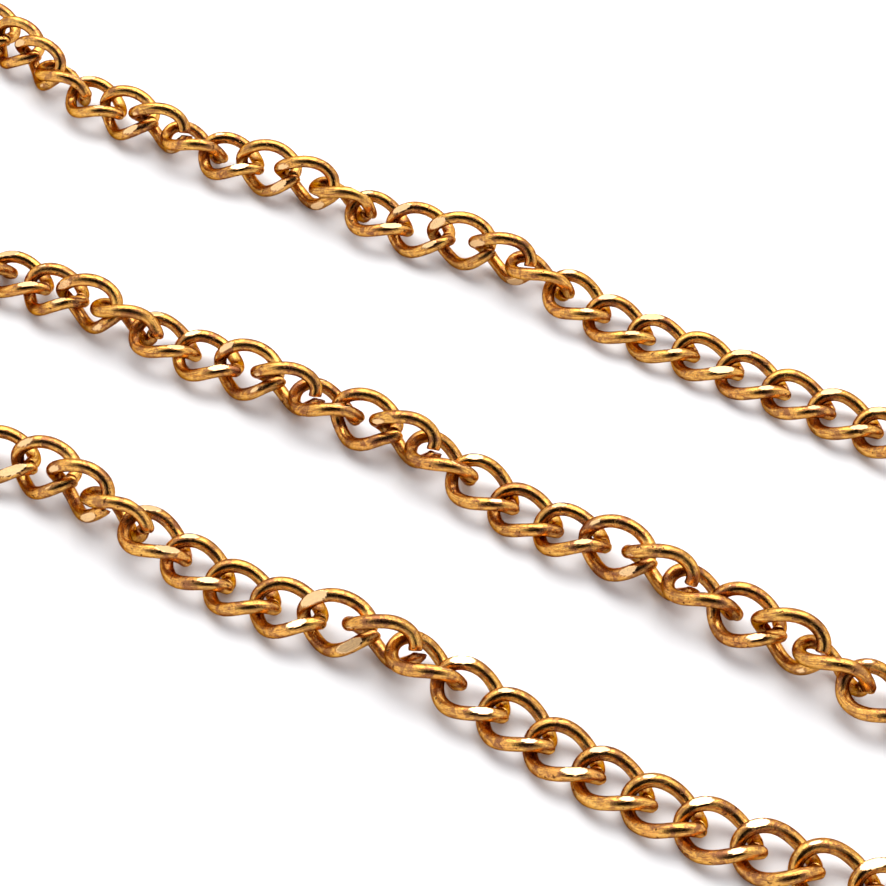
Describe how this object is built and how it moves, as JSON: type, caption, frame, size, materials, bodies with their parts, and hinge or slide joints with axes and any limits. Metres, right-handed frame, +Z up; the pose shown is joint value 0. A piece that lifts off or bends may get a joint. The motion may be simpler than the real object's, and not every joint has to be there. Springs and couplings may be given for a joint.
{
  "type": "pocket watch chain",
  "caption": "Brass curb-link pocket watch chain lying loose on a table, with a T-bar at one end and a sprung swivel clip at the other.",
  "frame": {"origin": "on the table under the middle of the whole chain's outline", "axes": "+X along the three runs, with the T-bar at the +X end of the near run and the clip at the -X end of the far run; +Y from the near run to the far one; +Z up from the table"},
  "size_m": [0.154, 0.0612, 0.0051],
  "materials": {
    "chain_brass": "drawn wire, lightly tarnished",
    "fitting_brass": "polished, lightly tarnished",
    "spring_steel": "plain wire"
  },
  "bodies": {
    "link_01": {"link_01": "chain_brass"},
    "link_02": {"link_02": "chain_brass"},
    "link_03": {"link_03": "chain_brass"},
    "link_04": {"link_04": "chain_brass"},
    "link_05": {"link_05": "chain_brass"},
    "link_06": {"link_06": "chain_brass"},
    "link_07": {"link_07": "chain_brass"},
    "link_08": {"link_08": "chain_brass"},
    "link_09": {"link_09": "chain_brass"},
    "link_10": {"link_10": "chain_brass"},
    "link_11": {"link_11": "chain_brass"},
    "link_12": {"link_12": "chain_brass"},
    "link_13": {"link_13": "chain_brass"},
    "link_14": {"link_14": "chain_brass"},
    "link_15": {"link_15": "chain_brass"},
    "link_16": {"link_16": "chain_brass"},
    "link_17": {"link_17": "chain_brass"},
    "link_18": {"link_18": "chain_brass"},
    "link_19": {"link_19": "chain_brass"},
    "link_20": {"link_20": "chain_brass"},
    "links_21_22": {"links_21_22": "chain_brass"},
    "links_23_24": {"links_23_24": "chain_brass"},
    "links_25_26": {"links_25_26": "chain_brass"},
    "links_27_28": {"links_27_28": "chain_brass"},
    "links_29_30": {"links_29_30": "chain_brass"},
    "links_31_32": {"links_31_32": "chain_brass"},
    "links_33_34": {"links_33_34": "chain_brass"},
    "links_35_36": {"links_35_36": "chain_brass"},
    "links_37_38": {"links_37_38": "chain_brass"},
    "links_39_40": {"links_39_40": "chain_brass"},
    "links_41_42": {"links_41_42": "chain_brass"},
    "links_43_44": {"links_43_44": "chain_brass"},
    "links_45_46": {"links_45_46": "chain_brass"},
    "links_47_48": {"links_47_48": "chain_brass"},
    "links_49_50": {"links_49_50": "chain_brass"},
    "links_51_52": {"links_51_52": "chain_brass"},
    "links_53_54": {"links_53_54": "chain_brass"},
    "links_55_56": {"links_55_56": "chain_brass"},
    "links_57_58": {"links_57_58": "chain_brass"},
    "links_59_60": {"links_59_60": "chain_brass"},
    "links_61_62": {"links_61_62": "chain_brass"},
    "links_63_65": {"links_63_65": "chain_brass"},
    "links_66_68": {"links_66_68": "chain_brass"},
    "links_69_71": {"links_69_71": "chain_brass"},
    "links_72_74": {"links_72_74": "chain_brass"},
    "links_75_77": {"links_75_77": "chain_brass"},
    "links_78_80": {"links_78_80": "chain_brass"},
    "links_81_83": {"links_81_83": "chain_brass"},
    "links_84_86": {"links_84_86": "chain_brass"},
    "links_87_89": {"links_87_89": "chain_brass"},
    "links_90_92": {"links_90_92": "chain_brass"},
    "t_bar_ring": {"t_bar_ring": "chain_brass"},
    "t_bar": {"t_bar": "fitting_brass", "t_bar_eye": "chain_brass"},
    "clip_ring": {"clip_ring": "chain_brass"},
    "swivel_bail": {"swivel_bail": "fitting_brass"},
    "clip_body": {"clip_body": "fitting_brass", "gate_pin": "fitting_brass"},
    "clip_gate": {"clip_gate": "fitting_brass", "gate_spring": "spring_steel"}
  },
  "joints": [
    {"name": "bend_01_02", "type": "hinge", "parent": "link_02", "child": "link_01", "pos_m": [0.06282, -0.02007, 0.00158], "axis": [-0.1333, 0.5744, 0.8076], "range_deg": [-28, 28]},
    {"name": "bend_02_03", "type": "hinge", "parent": "link_03", "child": "link_02", "pos_m": [0.06006, -0.0205, 0.00138], "axis": [-0.1257, 0.8195, -0.5591], "range_deg": [-28, 28]},
    {"name": "bend_03_04", "type": "hinge", "parent": "link_04", "child": "link_03", "pos_m": [0.05469, -0.02139, 0.00128], "axis": [0.1303, -0.7076, -0.6945], "range_deg": [-28, 28]},
    {"name": "bend_04_05", "type": "hinge", "parent": "link_05", "child": "link_04", "pos_m": [0.05194, -0.02193, 0.00134], "axis": [0.08, -0.8252, 0.5592], "range_deg": [-28, 28]},
    {"name": "bend_05_06", "type": "hinge", "parent": "link_06", "child": "link_05", "pos_m": [0.04653, -0.02247, 0.00131], "axis": [-0.0758, 0.7153, 0.6946], "range_deg": [-28, 28]},
    {"name": "bend_06_07", "type": "hinge", "parent": "link_07", "child": "link_06", "pos_m": [0.04373, -0.0225, 0.00123], "axis": [0.0441, 0.7759, -0.6293], "range_deg": [-28, 28]},
    {"name": "bend_07_08", "type": "hinge", "parent": "link_08", "child": "link_07", "pos_m": [0.03829, -0.02223, 0.00119], "axis": [-0.0347, -0.7764, -0.6293], "range_deg": [-28, 28]},
    {"name": "bend_08_09", "type": "hinge", "parent": "link_09", "child": "link_08", "pos_m": [0.03551, -0.02191, 0.00113], "axis": [-0.0465, -0.7763, 0.6286], "range_deg": [-28, 28]},
    {"name": "bend_09_10", "type": "hinge", "parent": "link_10", "child": "link_09", "pos_m": [0.0301, -0.02138, 0.00138], "axis": [0.1049, 0.7706, 0.6286], "range_deg": [-28, 28]},
    {"name": "bend_10_11", "type": "hinge", "parent": "link_11", "child": "link_10", "pos_m": [0.0274, -0.02107, 0.00178], "axis": [-0.1118, 0.3607, -0.9259], "range_deg": [-28, 28]},
    {"name": "bend_11_12", "type": "hinge", "parent": "link_12", "child": "link_11", "pos_m": [0.022, -0.02095, 0.00247], "axis": [-0.0403, -0.9871, -0.1552], "range_deg": [-28, 28]},
    {"name": "bend_12_13", "type": "hinge", "parent": "link_13", "child": "link_12", "pos_m": [0.01993, -0.02118, 0.00258], "axis": [0.1339, -0.9908, -0.0173], "range_deg": [-28, 28]},
    {"name": "bend_13_14", "type": "hinge", "parent": "link_14", "child": "link_13", "pos_m": [0.01598, -0.02186, 0.00205], "axis": [-0.0268, 0.8759, -0.4817], "range_deg": [-28, 28]},
    {"name": "bend_14_15", "type": "hinge", "parent": "link_15", "child": "link_14", "pos_m": [0.0119, -0.02227, 0.00146], "axis": [0.0169, 0.7773, -0.6289], "range_deg": [-28, 28]},
    {"name": "bend_15_16", "type": "hinge", "parent": "link_16", "child": "link_15", "pos_m": [0.00646, -0.0223, 0.00128], "axis": [0.0265, -0.777, -0.6289], "range_deg": [-28, 28]},
    {"name": "bend_16_17", "type": "hinge", "parent": "link_17", "child": "link_16", "pos_m": [0.00366, -0.02209, 0.00163], "axis": [0.0769, -0.5938, 0.8009], "range_deg": [-28, 28]},
    {"name": "bend_17_18", "type": "hinge", "parent": "link_18", "child": "link_17", "pos_m": [-0.00172, -0.02175, 0.0024], "axis": [0.1146, 0.9081, 0.4027], "range_deg": [-28, 28]},
    {"name": "bend_18_19", "type": "hinge", "parent": "link_19", "child": "link_18", "pos_m": [-0.00403, -0.02157, 0.00271], "axis": [0.0462, 0.8081, 0.5872], "range_deg": [-28, 28]},
    {"name": "bend_19_20", "type": "hinge", "parent": "link_20", "child": "link_19", "pos_m": [-0.00944, -0.02109, 0.00247], "axis": [-0.0769, -0.4015, 0.9126], "range_deg": [-28, 28]},
    {"name": "bend_20_21", "type": "hinge", "parent": "links_21_22", "child": "link_20", "pos_m": [-0.01192, -0.02101, 0.002], "axis": [0.1096, -0.9306, 0.3493], "range_deg": [-28, 28]},
    {"name": "bend_22_23", "type": "hinge", "parent": "links_23_24", "child": "links_21_22", "pos_m": [-0.02119, -0.02271, 0.00146], "axis": [-0.1558, 0.7394, 0.655], "range_deg": [-28, 28]},
    {"name": "bend_24_25", "type": "hinge", "parent": "links_25_26", "child": "links_23_24", "pos_m": [-0.029, -0.02429, 0.00226], "axis": [-0.1239, 0.9829, 0.1361], "range_deg": [-28, 28]},
    {"name": "bend_26_27", "type": "hinge", "parent": "links_27_28", "child": "links_25_26", "pos_m": [-0.03644, -0.0215, 0.00258], "axis": [-0.4226, -0.7999, 0.426], "range_deg": [-28, 28]},
    {"name": "bend_28_29", "type": "hinge", "parent": "links_29_30", "child": "links_27_28", "pos_m": [-0.03972, -0.01556, 0.00258], "axis": [-0.8803, 0.1304, -0.4562], "range_deg": [-28, 28]},
    {"name": "bend_30_31", "type": "hinge", "parent": "links_31_32", "child": "links_29_30", "pos_m": [-0.03726, -0.00788, 0.0023], "axis": [0.5514, -0.8278, -0.1028], "range_deg": [-28, 28]},
    {"name": "bend_32_33", "type": "hinge", "parent": "links_33_34", "child": "links_31_32", "pos_m": [-0.03012, -0.00439, 0.00139], "axis": [0.0677, -0.7745, -0.6289], "range_deg": [-28, 28]},
    {"name": "bend_34_35", "type": "hinge", "parent": "links_35_36", "child": "links_33_34", "pos_m": [-0.02072, -0.0044, 0.00236], "axis": [0.0661, 0.913, -0.4026], "range_deg": [-28, 28]},
    {"name": "bend_36_37", "type": "hinge", "parent": "links_37_38", "child": "links_35_36", "pos_m": [-0.01476, -0.00412, 0.00218], "axis": [0.0041, 0.8761, 0.4821], "range_deg": [-28, 28]},
    {"name": "bend_38_39", "type": "hinge", "parent": "links_39_40", "child": "links_37_38", "pos_m": [-0.00526, -0.00358, 0.00182], "axis": [0.0195, -0.8292, 0.5586], "range_deg": [-28, 28]},
    {"name": "bend_40_41", "type": "hinge", "parent": "links_41_42", "child": "links_39_40", "pos_m": [0.00067, -0.00326, 0.00234], "axis": [0.0325, -0.9698, -0.2416], "range_deg": [-28, 28]},
    {"name": "bend_42_43", "type": "hinge", "parent": "links_43_44", "child": "links_41_42", "pos_m": [0.00977, -0.00294, 0.00233], "axis": [-0.018, 0.9974, -0.0697], "range_deg": [-20, 28]},
    {"name": "bend_44_45", "type": "hinge", "parent": "links_43_44", "child": "links_45_46", "pos_m": [0.01576, -0.00333, 0.00189], "axis": [-0.1462, -0.7664, -0.6255], "range_deg": [-28, 28]},
    {"name": "bend_46_47", "type": "hinge", "parent": "links_45_46", "child": "links_47_48", "pos_m": [0.02526, -0.00418, 0.00126], "axis": [0.0619, 0.7747, -0.6293], "range_deg": [-28, 5]},
    {"name": "bend_48_49", "type": "hinge", "parent": "links_47_48", "child": "links_49_50", "pos_m": [0.03161, -0.00408, 0.00261], "axis": [0.0079, 0.6948, -0.7192], "range_deg": [-28, 28]},
    {"name": "bend_50_51", "type": "hinge", "parent": "links_49_50", "child": "links_51_52", "pos_m": [0.03915, -0.00448, 0.00199], "axis": [-0.0003, -0.517, -0.856], "range_deg": [-28, 28]},
    {"name": "bend_52_53", "type": "hinge", "parent": "links_51_52", "child": "links_53_54", "pos_m": [0.0466, -0.0052, 0.00268], "axis": [-0.0775, -0.9787, 0.19], "range_deg": [-28, 28]},
    {"name": "bend_54_55", "type": "hinge", "parent": "links_53_54", "child": "links_55_56", "pos_m": [0.05579, -0.00581, 0.00152], "axis": [-0.0633, 0.7779, -0.6252], "range_deg": [-28, 28]},
    {"name": "bend_56_57", "type": "hinge", "parent": "links_55_56", "child": "links_57_58", "pos_m": [0.06344, -0.00343, 0.00211], "axis": [-0.3643, 0.9027, -0.2291], "range_deg": [-28, 28]},
    {"name": "bend_58_59", "type": "hinge", "parent": "links_57_58", "child": "links_59_60", "pos_m": [0.06847, 0.00283, 0.00245], "axis": [0.8377, -0.5021, -0.215], "range_deg": [-28, 28]},
    {"name": "bend_60_61", "type": "hinge", "parent": "links_59_60", "child": "links_61_62", "pos_m": [0.06878, 0.0096, 0.00254], "axis": [0.5646, 0.278, 0.7771], "range_deg": [-28, 28]},
    {"name": "bend_62_63", "type": "hinge", "parent": "links_61_62", "child": "links_63_65", "pos_m": [0.06331, 0.01718, 0.00252], "axis": [-0.3123, -0.3109, 0.8977], "range_deg": [-28, 28]},
    {"name": "bend_65_66", "type": "hinge", "parent": "links_63_65", "child": "links_66_68", "pos_m": [0.05289, 0.0194, 0.00208], "axis": [0.015, -0.9732, 0.2293], "range_deg": [-28, 28]},
    {"name": "bend_68_69", "type": "hinge", "parent": "links_66_68", "child": "links_69_71", "pos_m": [0.03947, 0.01873, 0.00125], "axis": [-0.0509, 0.776, 0.6286], "range_deg": [-28, 28]},
    {"name": "bend_71_72", "type": "hinge", "parent": "links_69_71", "child": "links_72_74", "pos_m": [0.02851, 0.01882, 0.0012], "axis": [-0.017, 0.777, -0.6293], "range_deg": [-28, 28]},
    {"name": "bend_74_75", "type": "hinge", "parent": "links_72_74", "child": "links_75_77", "pos_m": [0.01484, 0.01868, 0.00144], "axis": [-0.0575, -0.7759, -0.6282], "range_deg": [-28, 28]},
    {"name": "bend_77_78", "type": "hinge", "parent": "links_75_77", "child": "links_78_80", "pos_m": [0.00439, 0.01939, 0.00278], "axis": [0.1078, -0.8929, -0.4371], "range_deg": [-28, 28]},
    {"name": "bend_80_81", "type": "hinge", "parent": "links_78_80", "child": "links_81_83", "pos_m": [-0.00897, 0.01834, 0.00201], "axis": [0.0097, 0.7777, 0.6285], "range_deg": [-28, 28]},
    {"name": "bend_83_84", "type": "hinge", "parent": "links_81_83", "child": "links_84_86", "pos_m": [-0.01907, 0.01813, 0.00202], "axis": [-0.0353, 0.8741, -0.4845], "range_deg": [-28, 28]},
    {"name": "bend_86_87", "type": "hinge", "parent": "links_84_86", "child": "links_87_89", "pos_m": [-0.03216, 0.01779, 0.00261], "axis": [0.0095, -0.6947, 0.7192], "range_deg": [-28, 28]},
    {"name": "bend_89_90", "type": "hinge", "parent": "links_87_89", "child": "links_90_92", "pos_m": [-0.04195, 0.01865, 0.00253], "axis": [-0.1837, -0.732, -0.6561], "range_deg": [-28, 28]},
    {"name": "bend_ring_01", "type": "hinge", "parent": "link_01", "child": "t_bar_ring", "pos_m": [0.06819, -0.01927, 0.0019], "axis": [0.1103, -0.9072, 0.406], "range_deg": [-28, 28]},
    {"name": "t_bar_swing", "type": "hinge", "parent": "t_bar_ring", "child": "t_bar", "pos_m": [0.07052, -0.01902, 0.00193], "axis": [0, 0, 1], "range_deg": [-25, 25]},
    {"name": "bend_92_ring", "type": "hinge", "parent": "links_90_92", "child": "clip_ring", "pos_m": [-0.05498, 0.022, 0.00183], "axis": [0.0295, 0.3619, 0.9318], "range_deg": [-28, 28]},
    {"name": "bail_swing", "type": "hinge", "parent": "clip_ring", "child": "swivel_bail", "pos_m": [-0.05821, 0.02276, 0.0018], "axis": [-0.1844, -0.7981, 0.5736], "range_deg": [-28, 28]},
    {"name": "clip_swivel", "type": "hinge", "parent": "swivel_bail", "child": "clip_body", "pos_m": [-0.0618, 0.02359, 0.0018], "axis": [-0.9743, 0.2251, 0], "continuous": true},
    {"name": "gate_swing", "type": "hinge", "parent": "clip_body", "child": "clip_gate", "pos_m": [-0.06727, 0.02111, 0.0018], "axis": [0, 0, -1], "range_deg": [0, 32], "stiffness_Nm_per_rad": 0.004, "springref_deg": -11.46}
  ]
}
